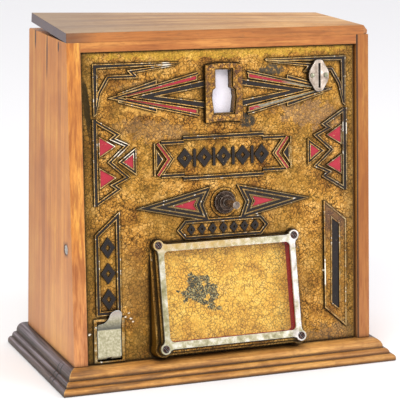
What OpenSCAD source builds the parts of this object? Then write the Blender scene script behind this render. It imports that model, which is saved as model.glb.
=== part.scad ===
// Countertop trade stimulator: a wooden cabinet with a leaning deco casting in
// front, a coin slot, a turning spindle, a framed glass and a gum vender inside.
// Origin: middle of the base on the table. +X right, +Y back, +Z up.

/* [Cabinet] */
// Width across the two side boards
cabinet_w = 280; // [270:1:300]
// Height of the side boards above the base
cabinet_h = 270; // [268:1:290]
// Depth of the side boards at the bottom
cabinet_d = 130; // [124:1:150]
// How far the front leans back at the top
front_setback = 29; // [20:1:32]
// Thickness of the side boards
board_t = 12; // [11:0.5:13]
// Thickness of the lid board
lid_t = 8; // [6:0.5:12]
// How far the warped lid stands up at its back left corner
lid_warp = 6; // [1:0.5:9]
// How far the lid stops short of the back of the side boards
lid_short = 6; // [3:0.5:10]
// Height of the rails under the lid
rail_h = 8; // [7:0.5:10]
// Depth of the rails, front to back
rail_d = 12; // [10:0.5:16]
// Thickness of the back door
door_t = 9; // [8:0.5:11]
// Gap round the back door
door_gap = 1; // [0.5:0.1:1.5]

/* [Base] */
// Height of the base moulding
base_h = 18; // [16:1:22]
// How far the base stands out in front
base_front = 21.5; // [18:0.5:24]
// How far the base stands out at the sides
base_side = 16.5; // [15:0.5:20]
// How far the base stands out at the back
base_back = 8.5; // [7:0.5:14]
// Width of the moulding strips under the boards
strip_in = 22; // [18:1:26]
// Thickness of the base board between the strips
base_board_t = 10; // [8:1:12]

/* [Front casting] */
// Thickness of the casting's plate
plate_t = 3.5; // [3:0.1:4]
// How far the casting lies behind the front edges of the boards
plate_recess = 2.1; // [1:0.1:4]
// Gap between the casting and the right-hand board
side_gap = 2.8; // [0.5:0.1:3]
// Height of the raised lines and figures
relief_h = 1.3; // [1.1:0.1:1.6]
// Width of the raised rims beside the enamel
rim_w = 0.7; // [0.5:0.1:0.8]
// Thickness of the enamel between its rims
enamel_t = 0.9; // [0.6:0.05:1]
// Height of the raised window plate
window_raise = 3.8; // [2.5:0.1:5]
// Width of the raised window plate
window_w = 34; // [32:0.5:38]

/* [Lens frame] */
// Distance between the ears' centres across
ear_span_x = 127.4; // [124:0.2:132]
// Distance between the ears' centres up the slope
ear_span_y = 88.2; // [86:0.2:92]
// Radius of an ear
ear_r = 4.5; // [4.3:0.1:5.4]
// Width of the frame's side bars
bar_x = 4.8; // [4.4:0.1:5.4]
// Width of the frame's top and bottom bars
bar_y = 5.9; // [5.5:0.1:6.5]
// Thickness of the frame
frame_t = 2; // [1.6:0.1:2.6]
// Thickness of the glass
glass_t = 2; // [1.8:0.1:2.2]
// Depth of the red-lined recess behind the glass
recess_d = 7; // [6:0.5:8]
// Tilt of the frame against the casting
pod_tilt = 9; // [7:0.5:9.5]

/* [Coin plate] */
// Width of the coin plate
coin_plate_w = 18.6; // [18:0.2:21]
// Height of the coin plate
coin_plate_h = 27.6; // [27:0.2:30]
// Height of the coin slot
slot_h = 21.6; // [20:0.2:22]
// Width of the coin slot
slot_w = 2.3; // [1.9:0.1:2.4]

/* [Gum door] */
// Width of the door flap
flap_w = 21; // [19:0.5:21.5]
// Thickness of the flap's sheet
flap_t = 0.9; // [0.7:0.1:1.2]
// Radius of the flap's curled lip
lip_r = 26; // [22:1:30]
// Radius of the hinge pin
gum_pin_r = 1.2; // [1:0.1:1.4]

/* [Spindle and gears] */
// Radius of the spindle's turned-down end
spindle_r = 3.2; // [2.8:0.1:3.4]
// Radius of the spindle in its bearings
journal_r = 3.6; // [3.5:0.1:4]
// How far the spindle stands out in front of the casting
spindle_out = 26.5; // [20:0.5:30]
// Running gap round every shaft
run_gap = 0.06; // [0.04:0.01:0.09]
// Tooth size of the gears (module)
gear_m = 2; // [2:0.1:2.1]
// Teeth of the drive gear and of the gum wheel's gear
drive_n = 20; // [18:2:22]
// Teeth of the idler gear
idler_n = 18; // [18:4:22]
// Radius of the gum wheel
gum_wheel_r = 28; // [26:0.5:29]
// Radius of a ball of gum
gum_r = 8.5; // [7:0.5:9]

/* [Hidden] */

$fn = 48;
eps = 0.01;
seat = 0.02;

base_w = cabinet_w + 2 * base_side;
base_d = base_front + cabinet_d + base_back;
front_y = base_front - base_d / 2;
back_y = front_y + cabinet_d;
inner_x = cabinet_w / 2 - board_t;
lean = atan(front_setback / cabinet_h);
top_z = base_h + cabinet_h;
casting_h = (cabinet_h - rail_h) / cos(lean) - 0.6;
casting_left = -inner_x + 0.3;
casting_right = inner_x - side_gap;
window_top = casting_h - 12.9;
window_v = window_top - 50;
pane_t = 2.2;
pane_x = 12.6;
pane_h = 41;
pane_w = -plate_t - 1.6;
spindle_v = 131;
shoulder_w = 7;
boss_r = 12.5;
boss_h = 1;
gum_x = -gear_m * (drive_n + idler_n);
idler_x = gum_x / 2;
gear_w = -43;
gear_t = 3;
mech_w = gear_w - 2;
mech_t = 1.5;
cleat_w = 8;
cleat_d = 18;
screw_v = 98;
pod_v = 54.8;
pod_z = 12.8;
pod_x = ear_span_x / 2 + 2.7;
pod_low = pod_v - ear_span_y / 2 - 2.7;
pod_high = pod_v + ear_span_y / 2 + 0.5;
open_x = ear_span_x / 2 + 0.5 - bar_x;
open_y = ear_span_y / 2 + 0.5 - bar_y;
glass_x = open_x + 2.6;
glass_y = open_y + 2.4;
panel_z = -frame_t - glass_t - recess_d;
panel_t = 1.2;
panel_x = open_x + 3.6;
panel_y = open_y + 3;
post_left = gum_x - 25;
post_right = 38;
post_places = [[post_left, spindle_v + 25], [post_right, spindle_v + 15],
    [post_left, spindle_v - 25], [post_right, spindle_v - 21]];
gum_w = -38;
gum_wheel_t = 2 * gum_r + 2;
shell_t = 1;
housing_r = gum_wheel_r + 0.8;
flap_x = casting_left + 19.8;
flap_v = 5;
flap_flat = 24;
lip_angle = 42;
flap_gap = 0.25;
flap_roll_r = gum_pin_r + 1.1;
flap_pin_w = flap_gap - flap_roll_r;
wire_r = 0.4;
coils = 5;
spring_half = coils * wire_r;
coin_x = casting_right - 34.9;
coin_v = casting_h - 26.1;
coin_pad = 3;
rivet_x = coin_plate_w / 2 - 2.7;
coin_plate_t = 1.5;
disc_r = 22;
lever_x = coin_x - 37.3;
lever_v = spindle_v + disc_r + 7;
lever_w = -18;
lever_t = 2.5;
door_x = inner_x - door_gap;
door_top = top_z - 2 * rail_h - door_gap;
hinge_r = 2.6;
hinge_pin_r = 1.2;
hinge_x = -inner_x + 0.5;
hinge_y = back_y + hinge_r + 0.1;
leaf_h = 36;
hinge_zs = [base_h + 40, door_top - leaf_h - 22];
leaf_w = 18;
leaf_t = 1.2;
knuckle_h = leaf_h / 3;
lock_r = 9;
lock_x = door_x - 31;
lock_z = base_h + 150;
lock_reach = 29.5;

function unit(v) = v / norm(v);
function left_of(v) = [-v[1], v[0]];
// Points of a path moved sideways by d, mitred at its corners
function beside(path, d, tip) = [for (i = [0 : len(path) - 1])
    let (a = path[max(i - 1, 0)], b = path[i], c = path[min(i + 1, len(path) - 1)],
         p = left_of(unit(i == 0 ? c - b : b - a)), q = left_of(unit(i == len(path) - 1 ? b - a : c - b)),
         end = i == 0 || i == len(path) - 1)
    b + (p + q) * d * (end ? tip : 1) / (1 + p * q)];
function backwards(list) = [for (i = [len(list) - 1 : -1 : 0]) list[i]];
// Points of a closed outline moved inwards by d (counter-clockwise outline)
function inset(pts, d) = [for (i = [0 : len(pts) - 1])
    let (a = pts[(i + len(pts) - 1) % len(pts)], b = pts[i], c = pts[(i + 1) % len(pts)],
         p = left_of(unit(b - a)), q = left_of(unit(c - b)))
    b + (p + q) * d / (1 + p * q)];
function arc(centre, r, from, to, n) = [for (i = [0 : n])
    centre + r * [cos(from + (to - from) * i / n), sin(from + (to - from) * i / n)]];
function flip_v(pts, v) = [for (p = pts) [p[0], 2 * v - p[1]]];

// A line of width w along a path, whose two ends narrow to the share tip
module stroke(path, w, tip = 1) {
    polygon(concat(beside(path, w / 2, tip), backwards(beside(path, -w / 2, tip))));
}

// A closed line of width w inside a counter-clockwise outline
module outline(pts, w) {
    difference() {
        polygon(pts);
        polygon(inset(pts, w));
    }
}

module both_sides() {
    children();
    mirror([1, 0, 0]) children();
}

// The leaning plane of the casting's face: X right, Y up the slope, Z outwards
module front_plane() {
    translate([0, front_y + plate_recess / cos(lean), base_h]) rotate([90 - lean, 0, 0]) children();
}

// The tilted plane of the lens frame's face
module pod_plane() {
    front_plane() translate([0, pod_v, pod_z]) rotate([-pod_tilt, 0, 0]) children();
}

module slab(x0, x1, y0, y1, z0, z1) {
    translate([x0, y0, z0]) cube([x1 - x0, y1 - y0, z1 - z0]);
}

// What leans with the front is cut off level where it stands on the base
module above_base() {
    difference() {
        children();
        slab(-base_w, base_w, -base_d, base_d, -base_h, base_h);
    }
}

module rounded_rect(w, h, r) {
    union() {
        square([w - 2 * r, h], center = true);
        square([w, h - 2 * r], center = true);
        for (x = [-1, 1]) for (y = [-1, 1]) translate([x * (w / 2 - r), y * (h / 2 - r)]) circle(r);
    }
}

// Base

// Section of a moulding that stands out by over: a rounded foot, a small ovolo and a thumb
function moulding_section(over) =
    let (foot = base_h * 0.15, thumb = base_h * 0.4, drawn = 18, wide = over / drawn)
    concat([[-strip_in, 0]],
        [for (p = concat([[drawn - 0.8, 0], [drawn, 0.9]],
            arc([drawn - 3.4, foot], 3.4, 0, 90, 5),
            [[drawn - 4.3, foot + 3.4]],
            arc([drawn - 7.8, foot + 4], 3.5, 0, 90, 5),
            [[drawn - 8.8, foot + 7.5]],
            arc([drawn - 8.8 - thumb, base_h - thumb], thumb, 0, 90, 7))) [p[0] * wide, p[1]]],
        [[-strip_in, base_h]]);

// One strip along X whose boards stand at y = 0, cut to the plan of its two ends
module strip(length, over, plan) {
    intersection() {
        translate([-length / 2, 0, 0]) rotate([90, 0, 90])
            linear_extrude(length) scale([-1, 1]) polygon(moulding_section(over));
        linear_extrude(3 * base_h, center = true) polygon(plan);
    }
}

// The mitres run from the base's corners past the corners of the boards
mitre_in = strip_in * base_side / base_front;

module moulding_front() {
    color("#8a5a33") translate([0, front_y, 0]) strip(base_w + 2, base_front, [
        [-base_w / 2, -base_front], [base_w / 2, -base_front],
        [cabinet_w / 2 - mitre_in, strip_in], [-cabinet_w / 2 + mitre_in, strip_in]]);
}

module side_moulding() {
    translate([-cabinet_w / 2, 0, 0]) rotate([0, 0, -90]) strip(base_d + 2, base_side, [
        [base_d / 2, -base_side], [-base_d / 2, -base_side], [-base_d / 2, strip_in],
        [base_d / 2 - base_front - strip_in, strip_in], [base_d / 2 - base_front - strip_in, mitre_in]]);
}

module moulding_left() {
    color("#4a3b36") side_moulding();
}

module moulding_right() {
    color("#6e4a30") mirror([1, 0, 0]) side_moulding();
}

// The back strip is plain and lies between the ends of the side strips
module moulding_back() {
    color("#6e4a30") slab(-cabinet_w / 2 + strip_in, cabinet_w / 2 - strip_in,
        base_d / 2 - strip_in, base_d / 2, 0, base_h);
}

module base_board() {
    color("#9a6a40") slab(-cabinet_w / 2 + strip_in, cabinet_w / 2 - strip_in,
        front_y + strip_in, base_d / 2 - strip_in, base_h - base_board_t, base_h);
}

// Cabinet

module side_board() {
    difference() {
        translate([-cabinet_w / 2, 0, base_h]) rotate([90, 0, 90]) linear_extrude(board_t) polygon([
            [front_y, 0], [back_y, 0], [back_y, cabinet_h - 1.5], [back_y - 1.5, cabinet_h],
            [front_y + front_setback, cabinet_h]]);
        front_plane() translate([-cabinet_w / 2 - 1, screw_v, -plate_t - cleat_d / 2]) rotate([0, 90, 0])
            cylinder(r = 2.1, h = board_t + 2);
        front_plane() translate([-cabinet_w / 2 - 1, screw_v, -plate_t - cleat_d / 2]) rotate([0, 90, 0])
            cylinder(r = 4.2, h = 3.2);
    }
}

module side_board_left() {
    color("#c8814a") side_board();
}

module side_board_right() {
    color("#c8814a") mirror([1, 0, 0]) side_board();
}

// The rail's front face lies in the plane of the boards' front edges
module front_rail() {
    color("#d9934f") translate([-inner_x, 0, base_h]) rotate([90, 0, 90])
        linear_extrude(2 * inner_x) polygon([
        [front_y + front_setback * (1 - rail_h / cabinet_h), cabinet_h - rail_h],
        [front_y + front_setback + rail_d, cabinet_h - rail_h],
        [front_y + front_setback + rail_d, cabinet_h],
        [front_y + front_setback, cabinet_h]]);
}

module back_rail() {
    color("#b9784a") slab(-inner_x, inner_x, back_y - lid_short - rail_d, back_y - lid_short,
        top_z - rail_h * 2, top_z);
}

// The lid is a warped board: level at the right, lifting at the back left corner
module lid() {
    front = front_y + front_setback;
    slope = lid_t * tan(lean);
    end_r = 5;
    lid_over = 1.5;
    color("#c9a070") hull() {
        translate([-cabinet_w / 2, 0, top_z]) rotate([90, 0, 90]) linear_extrude(0.5) polygon([
            [front, 0], [back_y - lid_short, lid_warp],
            [back_y - lid_short - 1, lid_warp + lid_t], [front + slope, lid_t]]);
        translate([cabinet_w / 2 - end_r, 0, top_z]) rotate([90, 0, 90]) linear_extrude(0.5) polygon([
            [front, 0], [back_y - lid_short, 0], [back_y - lid_short, lid_t], [front + slope, lid_t]]);
        translate([cabinet_w / 2 + lid_over - 0.5, 0, top_z]) rotate([90, 0, 90])
            linear_extrude(0.5) polygon([
            [front + end_r, 0], [back_y - lid_short, 0], [back_y - lid_short, lid_t - end_r],
            [front + end_r, lid_t - end_r]]);
    }
}

// Wooden cleats inside the boards, which the casting lies against
module cleats() {
    color("#a86f45") above_base() both_sides() front_plane()
        slab(-inner_x, -inner_x + cleat_w, 0, casting_h, -plate_t - cleat_d, -plate_t);
}

module side_screws() {
    color("#6b6258") both_sides() front_plane()
        translate([-cabinet_w / 2 + 0.2, screw_v, -plate_t - cleat_d / 2]) rotate([0, 90, 0]) difference() {
            union() {
                cylinder(r = 4, h = 1.9);
                cylinder(r = 2, h = board_t - 0.4);
            }
            translate([-0.5, -5, -1]) cube([1, 10, 1.8]);
        }
}

// Deco relief: the outlines that the casting, the black lines and the red fills share

arrow_v = casting_h - 38.3;
corner = [casting_right - 8.2, casting_h - 10.4];
zig_x = casting_right - 8.8;
name_v = spindle_v + 39.8;
label_x = -1.2;
label_v = pod_high + 9.6;

// Points of a figure moved to its place
function moved(pts, by) = [for (p = pts) p + by];

bracket_outer = moved([[0.1, 0.1], [-76, -0.4], [-75.6, -1], [-3, -2.4], [-1.8, -40.5], [-0.2, -41.8]],
    corner);
bracket_inner = moved([[-74, -1.8], [-33, -6.4], [-37, -10.5], [-13, -10.5], [-5, -23.5], [-1.6, -40]],
    corner);
arrow_rim = moved([[23, 17.8], [99, 0], [23, -17.8]], [0, arrow_v]);
arrow_vee = moved([[17.4, 11.1], [17.4, 7.1], [64, 0], [17.4, -7.1], [17.4, -11.1], [80, 0]], [0, arrow_v]);
arrow_red = moved([[24.6, 12.9], [88, 1.1], [88, 1.9], [24.6, 16]], [0, arrow_v]);
arrow_tail = moved([[61.5, 10.6], [95, 2.6], [95, 3.2], [61.5, 12.9]], [0, arrow_v]);
zigzag = moved([[0, 35.2], [-20, 23.2], [-15, 19.7], [-28, 13.7], [-12.5, 0.2], [-28, -13.3], [-15, -19.3],
    [-20, -22.8], [0, -34.8]], [zig_x, name_v]);
zig_red = moved([[-16.6, 13.4], [-3.6, 5.6], [-3.6, 21.2]], [zig_x, name_v]);
side_tri = moved([[-35.4, -10.6], [-20.9, -0.2], [-35.4, 10.2]], [zig_x, name_v]);
dart = moved([[78.4, 0], [13, 14.6], [20.4, 0], [15, -14]], [0, spindle_v - 1]);
dart_mid = inset(dart, 3);
dart_red = moved([[48, 0], [26, 4.9], [29, 0], [25.6, -4.9]], [0, spindle_v - 1]);
chevron = moved([[60.8, 13.6], [50.6, 0], [60.8, -13.6]], [0, name_v]);
chevron_black = moved([[57, 12.6], [47.5, 0], [57, -12.6]], [0, name_v]);
label_hex = moved([[-35.5, -8], [35.5, -8], [42.6, 0], [35.5, 8], [-35.5, 8], [-42.6, 0]],
    [label_x, label_v]);
gum_frame = moved([[-10.2, 42], [10.9, 42], [10.9, 128], [-10.2, 110]], [flap_x, 0]);
side_plate = moved([[-29.2, 30], [-7.8, 11.5], [-7.8, 108.5], [-29.8, 126.5]], [casting_right, 0]);
side_well = moved([[-22.2, 34], [-14.8, 28], [-14.8, 104.6], [-21.8, 110]], [casting_right, 0]);

// One lozenge of the plain geometric bands that fill the three framed fields
module lozenge(w, h) {
    outline([[-w / 2, 0], [0, -h / 2], [w / 2, 0], [0, h / 2]], w / 4);
}

module field_motifs() {
    for (x = [-36 : 18 : 36]) translate([x, name_v]) lozenge(14, 17);
    for (x = [-27 : 18 : 27]) translate([x, name_v]) square([2.2, 15], center = true);
    for (x = [-30 : 10 : 30]) translate([label_x + x, label_v]) lozenge(7.6, 9);
    for (v = [55, 77, 99]) translate([flap_x + 0.4, v]) lozenge(12.6, 18);
}

// All dark lines of the relief; g widens them for the rims that are cast round them
module dark_lines(g) {
    both_sides() {
        polygon(inset(bracket_outer, -g / 2));
        stroke(bracket_inner, 1.6 + g, 0.5);
        stroke(arrow_rim, 1.3 + g);
        polygon(inset(arrow_vee, -g / 2));
        polygon(inset(arrow_tail, -g / 2));
        polygon(flip_v(inset(arrow_tail, -g / 2), arrow_v));
        stroke(zigzag, 1.6 + g);
        stroke([[zig_x + 0.3, name_v - 36], [zig_x + 0.3, name_v + 36.5]], 2.6 + g);
        outline(inset(side_tri, -g / 2), 1.5 + g);
        stroke(moved([[37, 14], [57.6, 14]], [0, name_v]), 1.9 + g);
        stroke(moved([[37, -14], [57.6, -14]], [0, name_v]), 1.9 + g);
        stroke(chevron_black, 1.1 + g);
        polygon(inset(moved([[61.8, 7], [56.9, 0], [61.8, -7]], [0, name_v]), -g / 2));
        outline(inset(dart, -g / 2), 2 + g);
        outline(inset(dart_mid, -g / 2), 2.4 + g);
    }
    stroke(moved([[-37.6, 17.3], [37.6, 17.3]], [0, name_v]), 2.1 + g);
    stroke(moved([[-37.6, -17.3], [37.6, -17.3]], [0, name_v]), 2.1 + g);
    outline(inset(label_hex, -g / 2), 1.8 + g);
    outline(inset(gum_frame, -g / 2), 2.2 + g);
}

// All red fills; g widens them in the same way
module red_shapes(g) {
    both_sides() {
        polygon(inset(arrow_red, -g / 2));
        polygon(flip_v(inset(arrow_red, -g / 2), arrow_v));
        polygon(inset(zig_red, -g / 2));
        polygon(flip_v(inset(zig_red, -g / 2), name_v + 0.2));
        polygon(inset(side_tri, 2.1 - g / 2));
        polygon(inset(dart_red, -g / 2));
        stroke(chevron, 1.8 + g);
    }
}

// The raised rims that part the enamels from the plate
module rims() {
    difference() {
        union() {
            dark_lines(2 * rim_w);
            red_shapes(2 * rim_w);
            both_sides() stroke(moved([[63.8, -14], [63.8, 14]], [0, name_v]), 1);
        }
        dark_lines(0);
        red_shapes(0);
    }
}

module window_outline(grow) {
    n = 8;
    half = window_w / 2 + grow;
    rise = 1.5;
    polygon(concat(
        [for (i = [0 : n]) let (x = -half + 2 * half * i / n)
            [x, window_v - grow + rise * (1 - pow(x / half, 2))]],
        [for (i = [n : -1 : 0]) let (x = -half + 2 * half * i / n)
            [x, window_top - 1 + grow + rise * (1 - pow(x / half, 2))]]));
}

// The bottle-shaped sight hole
module sight_hole(grow) {
    polygon(inset(moved([[-9, 0], [9, 0], [10.6, 13], [10, 19.6], [7.4, 21.6], [7.4, 37], [-7.4, 37],
        [-7.4, 21.6], [-10, 19.6], [-10.6, 13]], [0, window_v + 8]), -grow));
}

// The wedge-shaped pod that carries the lens frame
module pod_block(half_x, low_v, high_v, top) {
    intersection() {
        translate([0, (low_v + high_v) / 2, -9]) linear_extrude(60)
            rounded_rect(2 * half_x, high_v - low_v, 4);
        pod_plane_local() translate([-100, -100, -100 + top]) cube([200, 200, 100]);
    }
}

// The lens frame's plane, seen from the casting's own plane
module pod_plane_local() {
    translate([0, pod_v, pod_z]) rotate([-pod_tilt, 0, 0]) children();
}

ear = [ear_span_x / 2, ear_span_y / 2];

module ear_places(z) {
    for (x = [-1, 1]) for (y = [-1, 1]) translate([x * ear[0], y * ear[1], z]) children();
}

module pod_solid() {
    pod_block(pod_x + 3.4, pod_low - 3, pod_high + 0.7, -frame_t - 4);
    pod_block(pod_x + 1, pod_low - 1, pod_high + 0.3, -frame_t - 3);
    pod_block(pod_x, pod_low, pod_high, -frame_t);
    intersection() {
        pod_plane_local() {
            ear_places(-40) cylinder(r = ear_r + 0.4, h = 40 - frame_t);
            ear_places(-40) cylinder(r = ear_r + 2.6, h = 40 - frame_t - 4);
        }
        translate([-100, -5, -2]) cube([200, 130, 60]);
    }
}

module pod_cuts() {
    pod_plane_local() {
        translate([0, 0, panel_z - 30]) linear_extrude(60)
            rounded_rect(2 * open_x + 1.6, 2 * open_y + 1.6, 4);
        translate([0, 0, -frame_t - glass_t]) linear_extrude(10)
            rounded_rect(2 * glass_x + 0.4, 2 * glass_y + 0.4, 2);
        translate([0, 0, panel_z - 30]) linear_extrude(30)
            rounded_rect(2 * panel_x + 0.3, 2 * panel_y + 0.3, 2);
        ear_places(-frame_t - 8) cylinder(r = 1.7, h = 9);
    }
}

// What stands up from the casting's face by h and is rooted in its plate
module raised(h) {
    translate([0, 0, -1]) linear_extrude(h + 1) children();
}

module front_casting() {
    color("#b08530") above_base() front_plane() difference() {
        union() {
            slab(casting_left, casting_right, 0, casting_h, -plate_t, 0);
            raised(relief_h) rims();
            raised(enamel_t + 0.3) polygon(side_plate);
            raised(relief_h + 0.3) outline(side_plate, 1.2);
            raised(relief_h + 0.3) outline(inset(side_well, -1), 1);
            raised(window_raise) window_outline(0);
            translate([0, 0, -plate_t - 4]) linear_extrude(6) window_outline(-1);
            raised(coin_pad) translate([coin_x, coin_v]) coin_outline(-0.6);
            raised(relief_h) translate([flap_x, 19.8]) difference() {
                square([flap_w + 6.4, 37.8], center = true);
                square([flap_w + 1.6, 33.8], center = true);
            }
            raised(boss_h) translate([0, spindle_v]) circle(boss_r);
            translate([gum_x, spindle_v, -plate_t - 8]) cylinder(r = 7, h = 9);
            pod_solid();
        }
        pod_cuts();
        translate([0, 0, -50]) linear_extrude(100) sight_hole(0);
        translate([0, 0, window_raise - 1.2]) linear_extrude(5) sight_hole(1.2);
        translate([0, 0, pane_w - pane_t]) linear_extrude(pane_t) pane_shape(0.2);
        translate([0, 0, -plate_t - 5]) linear_extrude(plate_t + 5 + pane_w - pane_t + eps) pane_shape(0.2);
        linear_extrude(10) polygon(side_well);
        translate([coin_x - slot_w / 2, coin_v - slot_h / 2, -10]) cube([slot_w, slot_h, 20]);
        translate([flap_x - flap_w / 2 + 1.4, flap_v, -10]) cube([flap_w - 2.8, 29, 30]);
        translate([flap_x - flap_w / 2 - 0.4, flap_v - 2.8, -10]) cube([flap_w + 0.8, 6.3, 30]);
        translate([0, spindle_v, -10]) cylinder(r = 5.2, h = 20);
        translate([gum_x, spindle_v, -plate_t - 9]) cylinder(r = 3 + run_gap, h = 8);
        translate([flap_x - flap_w / 2 - 3, flap_v + 0.6, flap_pin_w]) rotate([0, 90, 0])
            cylinder(r = gum_pin_r + seat, h = flap_w + 6);
        for (p = post_places) translate([p[0], p[1], -plate_t - 1]) cylinder(r = 2.05, h = 3);
        translate([lever_x, lever_v, -plate_t - 1]) cylinder(r = 2.05, h = 3);
    }
}

// Enamel stops at the raised plates that stand over the relief
module off_plates() {
    difference() {
        children();
        translate([coin_x, coin_v]) coin_outline(0.1);
        window_outline(0.1);
        translate([0, spindle_v]) circle(boss_r + 0.1);
        translate([0, (pod_low + pod_high) / 2 - 1.1])
            rounded_rect(2 * pod_x + 7, pod_high - pod_low + 4, 4);
    }
}

module red_enamel() {
    color("#c83a45") front_plane() linear_extrude(enamel_t) off_plates() difference() {
        red_shapes(-2 * seat);
        dark_lines(2 * seat);
    }
}

module black_enamel() {
    color("#33343c") front_plane() linear_extrude(enamel_t) {
        off_plates() dark_lines(-2 * seat);
        field_motifs();
        polygon(inset(side_well, seat));
    }
}

module pane_shape(grow) {
    translate([-pane_x - grow, window_v + 6 - grow]) square([2 * pane_x + 2 * grow, pane_h + 2 * grow]);
}

module window_pane() {
    color("#ede9f0") front_plane() translate([0, 0, pane_w - pane_t]) linear_extrude(pane_t) pane_shape(0);
}

// Lens frame group

module recess_liner() {
    color("#8e1a1e") pod_plane() translate([0, 0, panel_z]) linear_extrude(recess_d) difference() {
        rounded_rect(2 * open_x + 1.4, 2 * open_y + 1.4, 3.9);
        rounded_rect(2 * open_x - 0.2, 2 * open_y - 0.2, 3.2);
    }
}

module field_panel() {
    color("#e0aa50") pod_plane() translate([0, 0, panel_z - panel_t]) linear_extrude(panel_t)
        rounded_rect(2 * panel_x, 2 * panel_y, 1.9);
}

module lens_glass() {
    color("#dfe8e4", 0.35) pod_plane() translate([0, 0, -frame_t - glass_t]) linear_extrude(glass_t)
        rounded_rect(2 * glass_x, 2 * glass_y, 1.9);
}

module lens_frame() {
    color("#c8c8b0") pod_plane() translate([0, 0, -frame_t]) difference() {
        union() {
            linear_extrude(frame_t) rounded_rect(ear_span_x + 1, ear_span_y + 1, 3);
            ear_places(0) cylinder(r = ear_r, h = frame_t);
            linear_extrude(frame_t) both_sides() for (m = [0, 1]) mirror([0, m]) translate(ear) polygon([
                [0, 0], [-0.77, 0.64] * ear_r, [-ear_r, 1.4], [-ear_r - 3, 0.5], [-ear_r - 3, -1],
                [-1, -ear_r - 3], [0.5, -ear_r - 3], [1.4, -ear_r], [0.64, -0.77] * ear_r]);
        }
        translate([0, 0, -1]) linear_extrude(frame_t + 2) rounded_rect(2 * open_x, 2 * open_y, 4);
        ear_places(-1) cylinder(r = 1.9, h = frame_t + 2);
        ear_places(frame_t - 0.8) cylinder(r = 3.4, h = 2);
    }
}

module frame_screws() {
    color("#4a4038") pod_plane() ear_places(-0.8) difference() {
        union() {
            cylinder(r = 3.2, h = 0.9);
            translate([0, 0, -frame_t - 4]) cylinder(r = 1.6, h = frame_t + 4.5);
        }
        rotate(35) translate([-0.5, -4, 0.3]) cube([1, 8, 2]);
    }
}

// Coin entry

module coin_outline(grow) {
    w = coin_plate_w / 2 + grow;
    h = coin_plate_h / 2 + grow;
    polygon([[-w, -2.4], [-w + 0.8, -4.8], [-3.4, -h + 0.8], [-1.8, -h], [1.8, -h], [3.4, -h + 0.8],
        [w - 0.8, -4.8], [w, -2.4], [w, 2.4], [w - 0.8, 4.8], [3.4, h - 0.8], [1.8, h], [-1.8, h],
        [-3.4, h - 0.8], [-w + 0.8, 4.8], [-w, 2.4]]);
}

module coin_plate() {
    color("#d8cfc8") front_plane() translate([coin_x, coin_v, coin_pad]) difference() {
        union() {
            linear_extrude(coin_plate_t) coin_outline(0);
            intersection() {
                linear_extrude(5) coin_outline(-0.5);
                translate([0, 0, -10]) rotate([90, 0, 0])
                    cylinder(r = 10 + coin_plate_t + 0.9, h = coin_plate_h, center = true);
            }
        }
        translate([-slot_w / 2, -slot_h / 2, -12]) cube([slot_w, slot_h, 20]);
        slab(-30, 30, -30, 30, -30, 0);
        for (x = [-rivet_x, rivet_x]) translate([x, 0.3, -5]) cylinder(r = 1.25, h = 10);
    }
}

module coin_rivets() {
    color("#b8aea2") front_plane() for (x = [-rivet_x, rivet_x])
        translate([coin_x + x, coin_v + 0.3, coin_pad]) union() {
            cylinder(r = 1.2, h = coin_plate_t);
            translate([0, 0, coin_plate_t + 0.35]) rotate_extrude()
                polygon([[0, 0], [2.1, 0], [1.7, 0.6], [0, 0.9]]);
            translate([0, 0, coin_plate_t]) cylinder(r = 1.2, h = 0.5);
        }
}

// A folded channel that drops the coin past the lever into the tray
module coin_chute() {
    gap = slot_w + 1.4;
    deep = 26;
    foot = 70;
    color("#9a9a94") front_plane() difference() {
        slab(coin_x - gap / 2 - shell_t, coin_x + gap / 2 + shell_t, foot, coin_v + slot_h / 2 + 3.2,
            -plate_t - deep - shell_t, -plate_t);
        slab(coin_x - gap / 2, coin_x + gap / 2, foot - 1, coin_v + slot_h / 2 + 1.2,
            -plate_t - deep, -plate_t + 1);
        slab(coin_x - gap, coin_x, lever_v - 24, lever_v + 6, lever_w - 3, lever_w + 6);
    }
}

module coin_tray() {
    w = 60;
    d = 55;
    h = 40;
    color("#8a6a48") translate([inner_x - w - 12, back_y - door_t - d - 12, base_h]) difference() {
        cube([w, d, h]);
        translate([3, 3, 3]) cube([w - 6, d - 6, h]);
    }
}

// Mechanism

function involute(rb, r) = let (t = sqrt(max(pow(r / rb, 2) - 1, 0)) * 180 / PI) t - atan(t * PI / 180);
// Outline of a gear of n teeth with 20 degree flanks; play is cut off each tooth
function gear_points(n, play) =
    let (rp = gear_m * n / 2, rb = rp * cos(20), ra = rp + gear_m * 0.95, rf = rp - gear_m * 1.2,
         steps = [for (k = [0 : 4]) max(rb, rf) + (ra - max(rb, rf)) * k / 4])
    [for (i = [0 : n - 1]) for (side = [-1, 1]) for (k = [0 : 5])
        let (j = side < 0 ? k : 5 - k, r = j == 0 ? rf : steps[j - 1],
             half = 90 / n - play / rp * 90 / PI + involute(rb, rp) - involute(rb, max(r, rb)))
        r * [cos(i * 360 / n + side * half), sin(i * 360 / n + side * half)]];

module gear(n, bore_r, turn) {
    difference() {
        linear_extrude(gear_t) rotate(turn) polygon(gear_points(n, 0.35));
        translate([0, 0, -1]) cylinder(r = bore_r, h = gear_t + 2);
    }
}

module spindle_bushing() {
    color("#4a4038") front_plane() translate([0, spindle_v, boss_h]) difference() {
        union() {
            cylinder(r = 9.5, h = 1.8);
            cylinder(r = 6.4, h = 5.4);
            translate([0, 0, -plate_t - 7]) cylinder(r = 5, h = plate_t + 7);
        }
        translate([0, 0, -20]) cylinder(r = journal_r + run_gap, h = 40);
    }
}

module bushing_nut() {
    color("#8c8478") front_plane() translate([0, spindle_v, -plate_t - 3.2]) difference() {
        cylinder(r = 8.5, h = 3.2, $fn = 6);
        translate([0, 0, -1]) cylinder(r = 5.05, h = 6);
    }
}

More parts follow.
